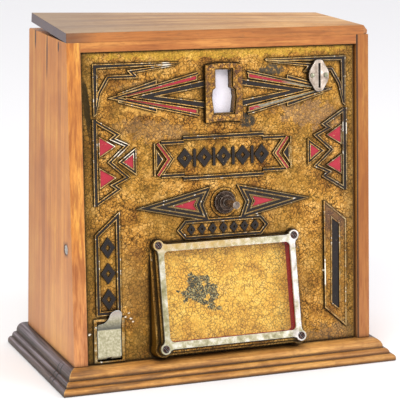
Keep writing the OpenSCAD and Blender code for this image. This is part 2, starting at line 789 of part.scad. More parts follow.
module spindle() {
    color("#55493f") front_plane() translate([0, spindle_v, 0]) {
        translate([0, 0, mech_w - mech_t - 4])
            cylinder(r = journal_r, h = shoulder_w - mech_w + mech_t + 4);
        cylinder(r = spindle_r, h = spindle_out);
    }
}

module drive_gear() {
    color("#b58a45") front_plane() translate([0, spindle_v, gear_w]) union() {
        gear(drive_n, journal_r + seat, 0);
        translate([0, 0, gear_t]) difference() {
            cylinder(r = 7, h = 6);
            translate([0, 0, -1]) cylinder(r = journal_r + seat, h = 8);
        }
    }
}

// The notched disc that the coin lever drops into when no coin is in
module lock_disc() {
    color("#9a9a94") front_plane() translate([0, spindle_v, lever_w]) difference() {
        union() {
            cylinder(r = disc_r, h = lever_t);
            translate([0, 0, -5]) cylinder(r = 7, h = 5);
        }
        translate([0, 0, -6]) cylinder(r = journal_r + seat, h = 12);
        translate([-4.5, disc_r - 6, -1]) cube([9, 10, lever_t + 2]);
    }
}

module mechanism_plate() {
    color("#9a9a94") front_plane() translate([0, 0, mech_w - mech_t]) difference() {
        slab(post_left - 6, post_right + 6, spindle_v - 29, spindle_v + 29, 0, mech_t);
        translate([0, spindle_v, -1]) cylinder(r = journal_r + run_gap, h = 5);
        translate([idler_x, spindle_v, -1]) cylinder(r = 2.5 + seat, h = 5);
        translate([gum_x, spindle_v, -1]) cylinder(r = 3 + run_gap, h = 5);
        for (p = post_places) translate([p[0], p[1], -1]) cylinder(r = 2.1, h = 5);
    }
}

module plate_posts() {
    color("#a8a298") front_plane() for (p = post_places) translate([p[0], p[1], 0]) {
        translate([0, 0, mech_w]) cylinder(r = 3.2, h = -mech_w - plate_t);
        translate([0, 0, mech_w - mech_t - 4]) cylinder(r = 2, h = -mech_w + mech_t + 4 - plate_t + 1.5);
    }
}

module post_nuts() {
    color("#8c8478") front_plane() for (p = post_places) translate([p[0], p[1], mech_w - mech_t - 3])
        difference() {
            cylinder(r = 4, h = 3, $fn = 6);
            translate([0, 0, -1]) cylinder(r = 2.05, h = 5);
        }
}

module idler_arbor() {
    color("#a8a298") front_plane() translate([idler_x, spindle_v, mech_w - mech_t - 2]) union() {
        cylinder(r = 2.5, h = mech_t + 2 + gear_t + 6);
        translate([0, 0, mech_t + 2 + gear_t + 2.4]) cylinder(r = 4, h = 1.2);
    }
}

module idler_gear() {
    color("#b58a45") front_plane() translate([idler_x, spindle_v, gear_w])
        gear(idler_n, 2.5 + run_gap, 180 / idler_n);
}

module gum_arbor() {
    color("#a8a298") front_plane() translate([gum_x, spindle_v, mech_w - mech_t - 4])
        cylinder(r = 3, h = -mech_w + mech_t + 4 - plate_t - 1.6);
}

module gum_gear() {
    color("#b58a45") front_plane() translate([gum_x, spindle_v, gear_w]) gear(drive_n, 3.02, 0);
}

// The gum wheel has one pocket, so each full turn of the spindle vends one ball
module gum_wheel() {
    color("#b9a47a") front_plane() translate([gum_x, spindle_v, gum_w]) difference() {
        cylinder(r = gum_wheel_r, h = gum_wheel_t, $fn = 96);
        translate([0, 0, -1]) cylinder(r = 3.02, h = gum_wheel_t + 2);
        translate([0, gum_wheel_r - gum_r * 0.55, -1]) cylinder(r = gum_r + 0.8, h = gum_wheel_t + 2);
    }
}

// A band round the wheel, open above to the hopper and below to the chute
module gum_housing() {
    color("#9a9a94") front_plane() translate([gum_x, spindle_v, gum_w - 0.6]) difference() {
        cylinder(r = housing_r + shell_t, h = gum_wheel_t + 1.2, $fn = 96);
        translate([0, 0, -1]) cylinder(r = housing_r, h = gum_wheel_t + 4, $fn = 96);
        translate([-gum_r - 3, 0, -1]) cube([2 * gum_r + 6, 50, gum_wheel_t + 4]);
        translate([-gum_r - 3, -50, -1]) cube([2 * gum_r + 6, 50, gum_wheel_t + 4]);
    }
}

hopper_back = -58;
hopper_front = -plate_t - 4;
hopper_x = 18 - inner_x;
hopper_left = [[hopper_x, window_top], [hopper_x, 182], [gum_x - gum_r - 4, spindle_v + housing_r + 1.2]];
hopper_right = [[26, window_top], [26, 202], [gum_x + gum_r + 4, spindle_v + housing_r + 1.2]];

module gum_hopper() {
    color("#a9a9a2") front_plane() {
        translate([0, 0, hopper_back]) linear_extrude(hopper_front - hopper_back) {
            stroke(hopper_left, shell_t);
            stroke(hopper_right, shell_t);
        }
        for (w = [hopper_back - shell_t, hopper_front - shell_t]) translate([0, 0, w])
            linear_extrude(shell_t) difference() {
                polygon(concat(hopper_left, backwards(hopper_right)));
                if (w > hopper_back) sight_hole(-0.5);
            }
    }
}

chute_left = [[flap_x - flap_w / 2 - 1, 3.5], [flap_x - flap_w / 2 - 1, 66], [gum_x - gum_r - 4, 98.5]];
chute_right = [[flap_x + flap_w / 2 + 1, 3.5], [flap_x + flap_w / 2 + 1, 58], [gum_x + gum_r + 4, 98.5]];

module gum_chute() {
    color("#a9a9a2") above_base() front_plane() {
        translate([0, 0, gum_w - 2]) linear_extrude(gum_wheel_t + 6) {
            stroke(chute_left, shell_t);
            stroke(chute_right, shell_t);
        }
        translate([0, 0, gum_w - 2 - shell_t]) linear_extrude(shell_t)
            polygon(concat(chute_left, backwards(chute_right)));
        translate([0, 0, gum_w + gum_wheel_t + 4]) linear_extrude(shell_t) intersection() {
            polygon(concat(chute_left, backwards(chute_right)));
            translate([-200, 40]) square([200, 80]);
        }
        translate([flap_x - flap_w / 2 - 1, 0, 0]) rotate([90, 0, 90]) linear_extrude(flap_w + 2)
            polygon([[26, gum_w - 2], [28, gum_w - 2], [9.6, -plate_t - 0.3], [8, -plate_t - 0.3]]);
        for (x = [chute_left[0][0] - shell_t / 2, chute_right[0][0] - shell_t / 2])
            slab(x, x + shell_t, 3.5, 40, gum_w + gum_wheel_t + 4, -plate_t);
    }
}

module gum_door_pin() {
    color("#8c8478") front_plane() translate([flap_x - flap_w / 2 - 2.8, flap_v + 0.6, flap_pin_w])
        rotate([0, 90, 0]) cylinder(r = gum_pin_r, h = flap_w + 5.6);
}

// The flap is one sheet: a hinge roll below, a flat, and a bell-shaped lip that curls out
module gum_flap() {
    half = flap_w / 2;
    flat_top = flap_v + flap_flat;
    color("#bdbda6") front_plane() difference() {
        union() {
            intersection() {
                translate([flap_x - half, 0, flap_gap]) rotate([90, 0, 90]) linear_extrude(flap_w)
                    polygon(concat([[flap_v + 0.6, 0]],
                        arc([flat_top, lip_r], lip_r, -90, -90 + lip_angle, 10),
                        arc([flat_top, lip_r], lip_r - flap_t, -90 + lip_angle, -90, 10),
                        [[flap_v + 0.6, flap_t]]));
                translate([flap_x, flat_top, -5]) linear_extrude(40) polygon(concat(
                    [[-half, -40], [half, -40], [half, 12]],
                    arc([half - 5.4, 12], 5.4, 0, 175, 12),
                    arc([-half + 2.6, 12.8], 7.6, -5, -88, 10),
                    arc([-half + 2, 3.2], 2, 92, 180, 6)));
            }
            translate([flap_x - half, flap_v + 0.6, flap_pin_w]) rotate([0, 90, 0])
                cylinder(r = flap_roll_r, h = flap_w);
            slab(flap_x - half, flap_x + half, flap_v + 0.6, flap_v + 1.8,
                flap_gap - 0.6, flap_gap + flap_t / 2);
        }
        translate([flap_x - half - 1, flap_v + 0.6, flap_pin_w]) rotate([0, 90, 0])
            cylinder(r = gum_pin_r + run_gap, h = flap_w + 2);
        slab(flap_x - spring_half - 0.35, flap_x + spring_half + 0.35, 0, flap_v + 4, -5, flap_gap - 0.01);
    }
}

// The coils of the spring that closes the flap, with one leg behind the sheet and one
// under the chute
module gum_door_spring() {
    ring = gum_pin_r + seat + wire_r;
    color("#77736a") front_plane() translate([flap_x, flap_v + 0.6, flap_pin_w]) {
        for (k = [0 : coils - 1]) translate([-spring_half + wire_r + k * 2 * wire_r, 0, 0])
            rotate([0, 90, 0]) rotate_extrude() translate([ring, 0]) circle(wire_r + eps, $fn = 16);
        translate([-spring_half + wire_r, 0, -ring]) rotate([-77, 0, 0]) cylinder(r = wire_r, h = 13);
        translate([spring_half - wire_r, -ring, -7]) cylinder(r = wire_r, h = 7);
    }
}

// The lever that keeps the spindle locked until a coin trips it
module lever_post() {
    color("#a8a298") front_plane() translate([lever_x, lever_v, 0]) union() {
        translate([0, 0, lever_w + lever_t + 0.3])
            cylinder(r = 3.4, h = -lever_w - lever_t - 0.3 - plate_t);
        translate([0, 0, lever_w - 3]) cylinder(r = 2, h = -lever_w + 3 - plate_t + 1.5);
        translate([0, 0, lever_w - 3]) cylinder(r = 3.4, h = 1.5);
    }
}

module coin_lever() {
    reach = coin_x - lever_x;
    color("#b58a45") front_plane() translate([lever_x, lever_v, lever_w]) difference() {
        union() {
            cylinder(r = 6, h = lever_t);
            linear_extrude(lever_t) polygon([[-2, 5.6], [-lever_x - 2.2, 5.4], [-lever_x - 2.6, -4],
                [-lever_x + 0.4, -4.4], [-lever_x + 1.2, 0.8], [-lever_x * 0.55, -1.4], [0, -5],
                [reach - 0.9, -14], [reach + 0.1, -6], [4, 5]]);
        }
        translate([0, 0, -1]) cylinder(r = 2 + run_gap, h = lever_t + 2);
    }
}

// Back door

module back_door() {
    color("#b9784a") difference() {
        slab(-door_x, door_x, back_y - door_t, back_y, base_h + door_gap, door_top);
        translate([lock_x, back_y + 1, lock_z]) rotate([90, 0, 0])
            cylinder(r = lock_r + 0.05, h = door_t + 2);
    }
}

module knuckle(z, h) {
    translate([hinge_x, hinge_y, z]) difference() {
        cylinder(r = hinge_r, h = h);
        translate([0, 0, -1]) cylinder(r = hinge_pin_r + run_gap, h = h + 2);
    }
}

// Leaves on the side board, with the end knuckles
module hinge_leaves_fixed() {
    color("#a08c50") for (z = hinge_zs) {
        slab(-cabinet_w / 2 + 1, hinge_x - hinge_r - 0.3, back_y, back_y + leaf_t, z, z + leaf_h);
        for (k = [0, 2]) {
            knuckle(z + k * knuckle_h, knuckle_h - (k == 0 ? 0.15 : 0));
            slab(hinge_x - hinge_r - 1, hinge_x - 1.4, back_y, back_y + 2.4, z + k * knuckle_h,
                z + (k + 1) * knuckle_h - (k == 0 ? 0.15 : 0));
        }
    }
}

// Leaves on the door, with the middle knuckle
module hinge_leaves_moving() {
    color("#a08c50") for (z = hinge_zs) {
        slab(hinge_x + hinge_r + 0.3, hinge_x + leaf_w, back_y, back_y + leaf_t, z, z + leaf_h);
        knuckle(z + knuckle_h + 0.15, knuckle_h - 0.3);
        slab(hinge_x + 1.4, hinge_x + hinge_r + 1, back_y, back_y + 2.4,
            z + knuckle_h + 0.15, z + 2 * knuckle_h - 0.15);
    }
}

module hinge_pins() {
    color("#8c7a45") for (z = hinge_zs) translate([hinge_x, hinge_y, z - 1]) union() {
        cylinder(r = hinge_pin_r, h = leaf_h + 2);
        cylinder(r = 1.8, h = 1);
        translate([0, 0, leaf_h + 1]) cylinder(r = 1.8, h = 1);
    }
}

module along_lock() {
    translate([lock_x, back_y, lock_z]) rotate([90, 0, 0]) children();
}

module lock_body() {
    color("#c8c8c0") along_lock() difference() {
        union() {
            translate([0, 0, -1.8]) cylinder(r = lock_r + 2.5, h = 1.8);
            cylinder(r = lock_r, h = door_t + 7);
        }
        translate([0, 0, -3]) cylinder(r = 6 + run_gap, h = door_t + 20);
    }
}

module lock_nut() {
    color("#a8a298") along_lock() translate([0, 0, door_t]) difference() {
        cylinder(r = lock_r + 4, h = 4, $fn = 6);
        translate([0, 0, -1]) cylinder(r = lock_r + 0.05, h = 6);
    }
}

module lock_plug() {
    color("#c8b060") along_lock() difference() {
        union() {
            translate([0, 0, -1.8]) cylinder(r = 6, h = door_t + 9.1);
            translate([0, 0, door_t + 7]) cylinder(r = 3, h = 5);
        }
        translate([-0.6, -3.5, -3]) cube([1.2, 7, 6]);
    }
}

// The cam points up when the door is free and turns out behind the strike
module lock_cam() {
    color("#a8a298") along_lock() translate([0, 0, door_t + 7.4]) difference() {
        union() {
            cylinder(r = 7.5, h = 2.5);
            slab(-6, 6, 0, lock_reach, 0, 2.5);
        }
        translate([0, 0, -1]) cylinder(r = 3.05, h = 5);
    }
}

module lock_strike() {
    color("#a8a298") slab(inner_x - 6, inner_x, back_y - door_t - 6.8, back_y - door_t - 0.5,
        lock_z - 12, lock_z + 12);
}

base_board();
moulding_front();
moulding_left();
moulding_right();
moulding_back();
side_board_left();
side_board_right();
front_rail();
back_rail();
lid();
cleats();
side_screws();
front_casting();
red_enamel();
black_enamel();
window_pane();
recess_liner();
field_panel();
lens_glass();
lens_frame();
frame_screws();
coin_plate();
coin_rivets();
coin_chute();
coin_tray();
spindle_bushing();
bushing_nut();
mechanism_plate();
plate_posts();
post_nuts();
gum_hopper();
gum_housing();
gum_chute();
gum_door_pin();
gum_door_spring();
spindle();
drive_gear();
lock_disc();
idler_arbor();
idler_gear();
gum_arbor();
gum_gear();
gum_wheel();
lever_post();
coin_lever();
gum_flap();
back_door();
hinge_leaves_fixed();
hinge_leaves_moving();
hinge_pins();
lock_body();
lock_nut();
lock_plug();
lock_cam();
lock_strike();
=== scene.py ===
import math

import bpy
from mathutils import Matrix, Vector

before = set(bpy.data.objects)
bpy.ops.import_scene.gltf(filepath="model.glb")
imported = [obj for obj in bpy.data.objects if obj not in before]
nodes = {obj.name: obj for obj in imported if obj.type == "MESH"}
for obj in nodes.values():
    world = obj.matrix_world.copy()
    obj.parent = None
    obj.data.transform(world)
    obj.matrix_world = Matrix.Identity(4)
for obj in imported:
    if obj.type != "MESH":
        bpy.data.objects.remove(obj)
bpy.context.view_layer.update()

# Base mouldings
# Four strips of stained softwood under the cabinet. The front and side ones are run on a
# moulding plane and mitred at the corners, and the back one is plain. The stain has gone
# brown in front and nearly black at the sides, and it has rubbed off the rounded edges.

MM = 0.001


def colour(value):
    """An sRGB hex value as the linear colour that a socket takes."""
    parts = [int(value[i:i + 2], 16) / 255 for i in (1, 3, 5)]
    return tuple(p / 12.92 if p < 0.04045 else ((p + 0.055) / 1.055) ** 2.4 for p in parts) + (1.0,)


def put(material, kind, inputs=None, out=0, stops=None, **settings):
    """Adds one node with its settings and links, and gives back one of its outputs."""
    made = material.node_tree.nodes.new("ShaderNode" + kind)
    for name, value in settings.items():
        setattr(made, name, value)
    for key, value in (inputs or {}).items():
        if isinstance(value, bpy.types.NodeSocket):
            material.node_tree.links.new(value, made.inputs[key])
        else:
            made.inputs[key].default_value = value
    if stops:
        ramp = made.color_ramp.elements
        while len(ramp) < len(stops):
            ramp.new(0.5)
        for spot, (place, tint) in zip(ramp, stops):
            spot.position = place
            spot.color = colour(tint)
    return made.outputs[out] if made.outputs else made


def new_finish(name):
    """An empty material, and the Principled shader that its surface takes."""
    material = bpy.data.materials.new(name)
    material.use_nodes = True
    material.node_tree.nodes.clear()
    shader = put(material, "BsdfPrincipled").node
    put(material, "OutputMaterial", {"Surface": shader.outputs[0]})
    return material, shader


def link(material, socket, shader, name):
    """Leads an output to one of the shader's named inputs, in place of what led there."""
    material.node_tree.links.new(socket, shader.inputs[name])


def dress(material, *names):
    """Gives one material to some nodes of the part, and takes away what they had."""
    for name in names:
        nodes[name].data.materials.clear()
        nodes[name].data.materials.append(material)


def millimetres(material, origin=(0, 0, 0), turn=(0, 0, 0), stretch=(1, 1, 1)):
    """Places on the piece in millimetres from an origin, turned and stretched."""
    place = put(material, "TexCoord", out="Object")
    local = put(material, "Mapping", {"Vector": place, "Location": [o * MM for o in origin],
                                      "Rotation": turn, "Scale": (MM, MM, MM)}, vector_type="TEXTURE")
    return put(material, "Mapping", {"Vector": local, "Scale": [1 / s for s in stretch]})


def cloudy(material, place, size, low, high, detail=4.0):
    """Clouds of a size in millimetres: 0 up to the low level of a noise, 1 from the high one."""
    noise = put(material, "TexNoise", {"Vector": place, "Scale": 1 / size, "Detail": detail,
                                       "Roughness": 0.6})
    return put(material, "MapRange", {"Value": noise, "From Min": low, "From Max": high})


def facing(material, direction, start, full, strength=1.0):
    """Grows to its strength where the surface turns towards a direction of the part."""
    normal = put(material, "TexCoord", out="Normal")
    cosine = put(material, "VectorMath", {0: normal, 1: direction}, out="Value", operation="DOT_PRODUCT")
    return put(material, "MapRange", {"Value": cosine, "From Min": start, "From Max": full,
                                      "To Max": strength})


def along(material, place, axis, start, full, strength=1.0):
    """Grows to its strength between two distances along one axis, in millimetres."""
    distance = put(material, "SeparateXYZ", {"Vector": place}, out=axis)
    return put(material, "MapRange", {"Value": distance, "From Min": start, "From Max": full,
                                      "To Max": strength})


def patch(material, place, centre, half, turn=0.0, ragged=0.5, grain=6.0):
    """1 inside a ragged oval mark, with its place, half sizes and grain in millimetres."""
    moved = put(material, "Mapping", {"Vector": place, "Location": centre, "Rotation": (0, 0, turn),
                                      "Scale": half}, vector_type="TEXTURE")
    far = put(material, "VectorMath", {0: moved}, out="Value", operation="LENGTH")
    rough = put(material, "TexNoise", {"Vector": place, "Scale": 1 / grain, "Detail": 5.0})
    rough = put(material, "Math", {0: rough, 1: 0.5}, operation="SUBTRACT")
    far = put(material, "Math", {0: rough, 1: ragged * 4, 2: far}, operation="MULTIPLY_ADD")
    return put(material, "MapRange", {"Value": far, "From Min": 1.15, "From Max": 0.75},
               interpolation_type="SMOOTHSTEP")


def edge_mask(material, radius, gain):
    """1 along the outer edges of a piece, 0 on its flats, and the rounded normal."""
    rounded = put(material, "Bevel", {"Radius": radius * MM}, samples=6)
    flat = put(material, "NewGeometry", out="Normal")
    same = put(material, "VectorMath", {0: rounded, 1: flat}, out="Value", operation="DOT_PRODUCT")
    rest = put(material, "Math", {0: 1.0, 1: same}, operation="SUBTRACT")
    return put(material, "Math", {0: rest, 1: gain}, operation="MULTIPLY", use_clamp=True), rounded


def toned(material, amount, low, high, tones):
    """An amount as a colour, from the darkest of three tones to the palest."""
    spread = put(material, "MapRange", {"Value": amount, "From Min": low, "From Max": high})
    return put(material, "ValToRGB", {0: spread}, stops=list(zip((0.0, 0.5, 1.0), tones)))


def stain(material, tint, *shares):
    """Lays a colour over what the surface shows so far, by the product of its shares.

    The mixing node has its two colours at 6 and 7, and gives their blend at 2.
    """
    share = shares[0]
    for factor in shares[1:]:
        share = put(material, "Math", {0: share, 1: factor}, operation="MULTIPLY")
    shader = next(n for n in material.node_tree.nodes if n.type == "BSDF_PRINCIPLED")
    base = shader.inputs["Base Color"]
    under = base.links[0].from_socket if base.links else tuple(base.default_value)
    over = put(material, "Mix", {0: share, 6: under, 7: colour(tint)}, out=2, data_type="RGBA")
    link(material, over, shader, "Base Color")


def shade_and_dirt_in_corners(material, tint, reach, strength, free=0.92, shut=0.35):
    """Painted shade, with some dirt, in corners within a reach in millimetres of other walls."""
    openness = put(material, "AmbientOcclusion", {"Distance": reach * MM}, out="AO", samples=12)
    stain(material, tint, put(material, "MapRange", {"Value": openness, "From Min": free,
                                                     "From Max": shut, "To Max": strength}))


def wood(name, grain, tones, ring=8.0, roughness=0.46, wear=0.5, worn="#C99A62", coat=0.08):
    """Planed softwood, its year rings, fibres and pores along one axis of the part.

    Real fibres are 0.03 mm wide and don't show at this size, so they are drawn 1.4 mm wide and
    the pores 1.3 mm. A ring is as wide as a saw cut shows it, 5 to 9 mm.
    """
    material, shader = new_finish(name)
    run, fibre, pore, cloud, corner = 34.0, 1.4, 1.3, 55.0, 1.2
    length = [run if axis == grain else 1.0 for axis in "XYZ"]
    rings = put(material, "TexNoise", {"Vector": millimetres(material, stretch=[ring * a for a in length]),
                                       "Scale": 1.0, "Detail": 4.0, "Roughness": 0.5, "Distortion": 0.5})
    fibres = put(material, "TexNoise", {"Vector": millimetres(material, stretch=[fibre * a for a in length]),
                                        "Scale": 1.0, "Detail": 3.0, "Roughness": 0.7})
    clouds = put(material, "TexNoise", {"Vector": millimetres(material), "Scale": 1 / cloud, "Detail": 3.0})
    tone = 0.0
    for figure, weight in ((rings, 0.7), (fibres, 0.4), (clouds, 0.5)):
        tone = put(material, "Math", {0: figure, 1: weight, 2: tone}, operation="MULTIPLY_ADD")
    link(material, toned(material, tone, 0.615, 0.975, tones), shader, "Base Color")
    edges, rounded = edge_mask(material, corner, gain=5.0)
    stain(material, worn, edges, wear)
    pores_at = millimetres(material, stretch=[math.sqrt(a) for a in length])
    stain(material, tones[0], cloudy(material, pores_at, pore, low=0.5, high=0.66), 0.35)
    height = put(material, "Math", {0: fibres, 1: rings}, operation="ADD")
    link(material, put(material, "Bump", {"Height": height, "Strength": 0.3, "Distance": 0.3 * MM,
                                          "Normal": rounded}), shader, "Normal")
    shader.inputs["Roughness"].default_value = roughness
    shader.inputs["Specular IOR Level"].default_value = 0.3
    shader.inputs["Coat Weight"].default_value = coat
    shader.inputs["Coat Roughness"].default_value = 0.3
    return material


def base_strip(name, grain, tones, worn, wear):
    """Stained moulding: the stain lies in clouds, and the hollows are darkened with painted shade and old
    dark polish.
    """
    material = wood(name, grain, tones, ring=5.0, roughness=0.42, worn=worn, wear=wear)
    stain(material, tones[0], cloudy(material, millimetres(material), 14, low=0.5, high=0.72), 0.6)
    shade_and_dirt_in_corners(material, "#2A1808", reach=7.0, strength=0.7)
    shade_and_dirt_in_corners(material, "#2E1A08", reach=3.5, strength=0.85, free=0.97, shut=0.72)
    return material


# The front strip is softwood stained brown. Its stain is thin and rubbed on the rounds, which are
# painted pale gold, partly as a painted highlight, and it goes darker and greyer towards the left.
front_strip = base_strip("softwood_stained_brown", "X", ["#865626", "#B88040", "#DCA65A"], "#ECC078", 0.9)
front_place = millimetres(front_strip)
flecks_at = millimetres(front_strip, stretch=(6.0, 1.0, 1.0))
stain(front_strip, "#5A3416", cloudy(front_strip, flecks_at, 2.2, low=0.46, high=0.66), 0.3)
stain(front_strip, "#7A4A22", along(front_strip, front_place, "X", 60, 160, 0.35))
greyed_at = millimetres(front_strip, stretch=(30.0, 5.0, 5.0))
stain(front_strip, "#5C4430", cloudy(front_strip, greyed_at, 1.0, low=0.5, high=0.66),
      along(front_strip, front_place, "X", 60, -90, 0.55))
dress(front_strip, "moulding_front")

# The side strips have the same stain in many coats, nearly black, with a painted grey-lilac
# highlight on their upper rounds and brown streaks between. Two cracks run down the left one, 2 mm wide.
side_strip = base_strip("softwood_stained_dark", "Y", ["#241C18", "#463830", "#6A5648"], "#A08A78", 0.6)
upper_left = (-0.55, 0.0, 0.83)
highlight_streaks_at = millimetres(side_strip, stretch=(2.0, 60.0, 2.0))
# Painted highlight on the rounds that face up and to the left.
stain(side_strip, "#948890", facing(side_strip, upper_left, 0.8, 0.99, 0.7),
      cloudy(side_strip, highlight_streaks_at, 1.0, low=0.35, high=0.6))
brown_at = millimetres(side_strip, stretch=(3.0, 70.0, 3.0))
stain(side_strip, "#3E2A1C", cloudy(side_strip, brown_at, 1.0, low=0.5, high=0.62), 0.6)
for crack_y, crack_half in ((-39.0, 0.9), (-46.5, 1.1)):
    stain(side_strip, "#080404", patch(side_strip, millimetres(side_strip), centre=(-150.0, crack_y, 10.0),
                                       half=(30.0, crack_half, 8.0), turn=0.3, ragged=0.1, grain=4.0))
dress(side_strip, "moulding_left", "moulding_right")

# The back strip is the same wood with less stain, dull, as no one polishes it.
dress(base_strip("softwood_stained_back", "X", ["#3A2A20", "#54402F", "#6E5640"], "#8A6E52", 0.4),
      "moulding_back")

# Cabinet boards
# Two side boards and a front rail of clear softwood, planed, stained honey brown and
# varnished by hand. The left board has split along the grain at its top, and the varnish
# has gone dark round its screw.

# Varnished softwood gives a warm, half-matt brown with upright streaks, redder low down and
# darker towards the back.
side_wood = wood("softwood_varnished_upright", "Z", ["#965620", "#BE762C", "#DA9E46"], wear=0.4,
                 worn="#E8B878")
side_place = millimetres(side_wood)
to_front = (0, -1, 0)
stain(side_wood, "#DC9A4E", cloudy(side_wood, side_place, 70, low=0.45, high=0.65), 0.3)
stain(side_wood, "#D8A07C", along(side_wood, side_place, "Z", 130, 40, 0.3))
streaks_at = millimetres(side_wood, stretch=(3.4, 3.4, 150.0))
stain(side_wood, "#8A4E20", cloudy(side_wood, streaks_at, 1.0, low=0.56, high=0.7, detail=3.0), 0.28)
stain(side_wood, "#9C5E2A", along(side_wood, side_place, "Y", -10, 75, 0.55))

# A real split is under 1 mm wide. These are drawn 3 mm wide, because the side is seen at a
# slant, and they run down from the top of the board.
left_face = -140.0
split_half = 1.5
for split_y, split_low, split_high in ((53.8, 272, 292), (21.2, 250, 292), (-9.0, 278, 287)):
    stain(side_wood, "#1E0E04", patch(side_wood, side_place, ragged=0.05, grain=9.0,
                                      centre=(left_face, split_y, (split_low + split_high) / 2),
                                      half=(30.0, split_half, (split_high - split_low) / 2)))
screw_y, screw_z = -33.5, 114.0
for ring_half, ring_share in ((7.5, 0.45), (5.4, 0.85)):
    stain(side_wood, "#4A2610", patch(side_wood, side_place, centre=(left_face, screw_y, screw_z),
                                      half=(20.0, ring_half, ring_half), ragged=0.2, grain=5.0), ring_share)

# The front edges have dark streaks. The right one is browner, and has a painted shadow line
# along its inner corner, where it meets the casting.
edge_at = millimetres(side_wood, stretch=(3.0, 3.0, 120.0))
stain(side_wood, "#8A4A20", facing(side_wood, to_front, 0.7, 0.95, 0.65),
      cloudy(side_wood, edge_at, 1.0, low=0.45, high=0.6))
stain(side_wood, "#844C1C", along(side_wood, side_place, "X", 0, 10, 0.65),
      facing(side_wood, to_front, 0.5, 0.9))
# Painted shadow in the gap between the right board and the casting.
stain(side_wood, "#1C1006", along(side_wood, side_place, "X", 127, 128),
      along(side_wood, side_place, "X", 130.2, 129.2), facing(side_wood, to_front, 0.5, 0.9, 0.9))
# Painted shade, with some dirt, in the corners.
shade_and_dirt_in_corners(side_wood, "#3A200C", reach=5.0, strength=0.8)
dress(side_wood, "side_board_left", "side_board_right")

# The rail is the same wood and varnish with its grain lying flat, a shade redder, with
# three small dents where something has knocked it.
rail_wood = wood("softwood_varnished_rail", "X", ["#7E461C", "#A4622C", "#C28240"], wear=0.4,
                 worn="#D09850")
rail_place = millimetres(rail_wood)
stain(rail_wood, "#9A5828", cloudy(rail_wood, rail_place, 24, low=0.5, high=0.7), 0.35)
for dent_x, dent_z in ((23.4, 295.0), (38.4, 293.5), (14.2, 294.2)):
    stain(rail_wood, "#5A3212", patch(rail_wood, rail_place, centre=(dent_x, -50.0, dent_z),
                                      half=(1.2, 20.0, 2.2), ragged=0.2, grain=3.0))
rail_lines_at = millimetres(rail_wood, stretch=(26.0, 2.0, 2.0))
stain(rail_wood, "#74401C", cloudy(rail_wood, rail_lines_at, 1.0, low=0.5, high=0.66), 0.4)
# Painted shade, with some dirt, in its corners.
shade_and_dirt_in_corners(rail_wood, "#3A200C", reach=4.0, strength=0.7)
dress(rail_wood, "front_rail")

# Inside and back
# Base board, back rail, cleats, back door and coin tray, of the same softwood. They are
# sawn to size, glued and nailed, and were never stained or varnished.

# Bare softwood gives a dull grey-yellow, with painted shade and dust in its corners.
bare_wood = wood("softwood_bare", "Z", ["#8A6238", "#AD8450", "#C9A06C"], roughness=0.6, coat=0.0)
shade_and_dirt_in_corners(bare_wood, "#3A2412", reach=8.0, strength=0.6)
dress(bare_wood, "base_board", "back_rail", "cleats", "back_door", "coin_tray")

# Lid
# One board laid across the cabinet, its finish worn off on top, where the wood has gone
# grey towards the left. It has dried out and warped, so its back left corner stands up.

# Dry softwood gives a chalky, pale surface on top, a grey end, and an edge in front that is
# still as brown as the rail under it, with a dark left corner.
lid_wood = wood("softwood_dry_lid", "X", ["#946230", "#C48E4E", "#DCB074"], ring=9.0, roughness=0.5,
                worn="#E0B478", wear=0.4, coat=0.03)
lid_place = millimetres(lid_wood)
bleached = (facing(lid_wood, (0, 0, 1), 0.6, 0.9), along(lid_wood, lid_place, "X", 60, -130, 0.8))
stain(lid_wood, "#8E7E6C", *bleached)
stain(lid_wood, "#B89468", *bleached, along(lid_wood, lid_place, "Y", -10, -55, 0.7))
lid_front = facing(lid_wood, to_front, 0.5, 0.85)
stain(lid_wood, "#A4622C", lid_front, 0.9)
lid_lines_at = millimetres(lid_wood, stretch=(70.0, 4.0, 2.0))
stain(lid_wood, "#7C5028", cloudy(lid_wood, lid_lines_at, 1.0, low=0.5, high=0.68), 0.45)
stain(lid_wood, "#5E4636", lid_front, along(lid_wood, lid_place, "X", -112, -134, 0.75))
end_at = millimetres(lid_wood, stretch=(1.0, 9.0, 1.0))
stain(lid_wood, "#5C565C", facing(lid_wood, (-1, 0, 0), 0.3, 0.7, 0.95),
      cloudy(lid_wood, end_at, 1.6, low=0.0, high=0.3))
specks_at = millimetres(lid_wood, stretch=(4.0, 1.0, 1.0))
stain(lid_wood, "#7A5430", cloudy(lid_wood, specks_at, 1.5, low=0.54, high=0.7), 0.45)
front_lines_at = millimetres(lid_wood, stretch=(26.0, 2.0, 2.0))
stain(lid_wood, "#74401C", cloudy(lid_wood, front_lines_at, 1.0, low=0.48, high=0.64), lid_front, 0.5)
# Painted shade, with some dirt, in its corners.
shade_and_dirt_in_corners(lid_wood, "#3A2412", reach=4.0, strength=0.7)
dress(lid_wood, "lid")

# Side screws
# Slotted steel wood screws, turned and threaded. They go through the side boards into the
# cleats, and so hold the casting. Their heads are sunk flush.


def metal(name, tones, roughness, mottle=8.0, metallic=1.0, wear=0.4, worn="#FFFFFF"):
    """Bare or plated metal, with stains and dull spots of a size in millimetres."""
    material, shader = new_finish(name)
    low, high, corner = 0.3, 0.7, 0.5
    spots = put(material, "TexNoise", {"Vector": millimetres(material), "Scale": 1 / mottle,
                                       "Detail": 6.0, "Roughness": 0.65})
    link(material, toned(material, spots, low, high, tones), shader, "Base Color")
    edges, rounded = edge_mask(material, corner, gain=4.0)
    stain(material, worn, edges, wear)
    dull = put(material, "MapRange", {"Value": spots, "From Min": low, "From Max": high,
                                      "To Min": roughness + 0.15, "To Max": roughness - 0.1})
    link(material, dull, shader, "Roughness")
    shader.inputs["Metallic"].default_value = metallic
    link(material, put(material, "Bump", {"Height": spots, "Strength": 0.1, "Distance": 0.2 * MM,
                                          "Normal": rounded}), shader, "Normal")
    return material


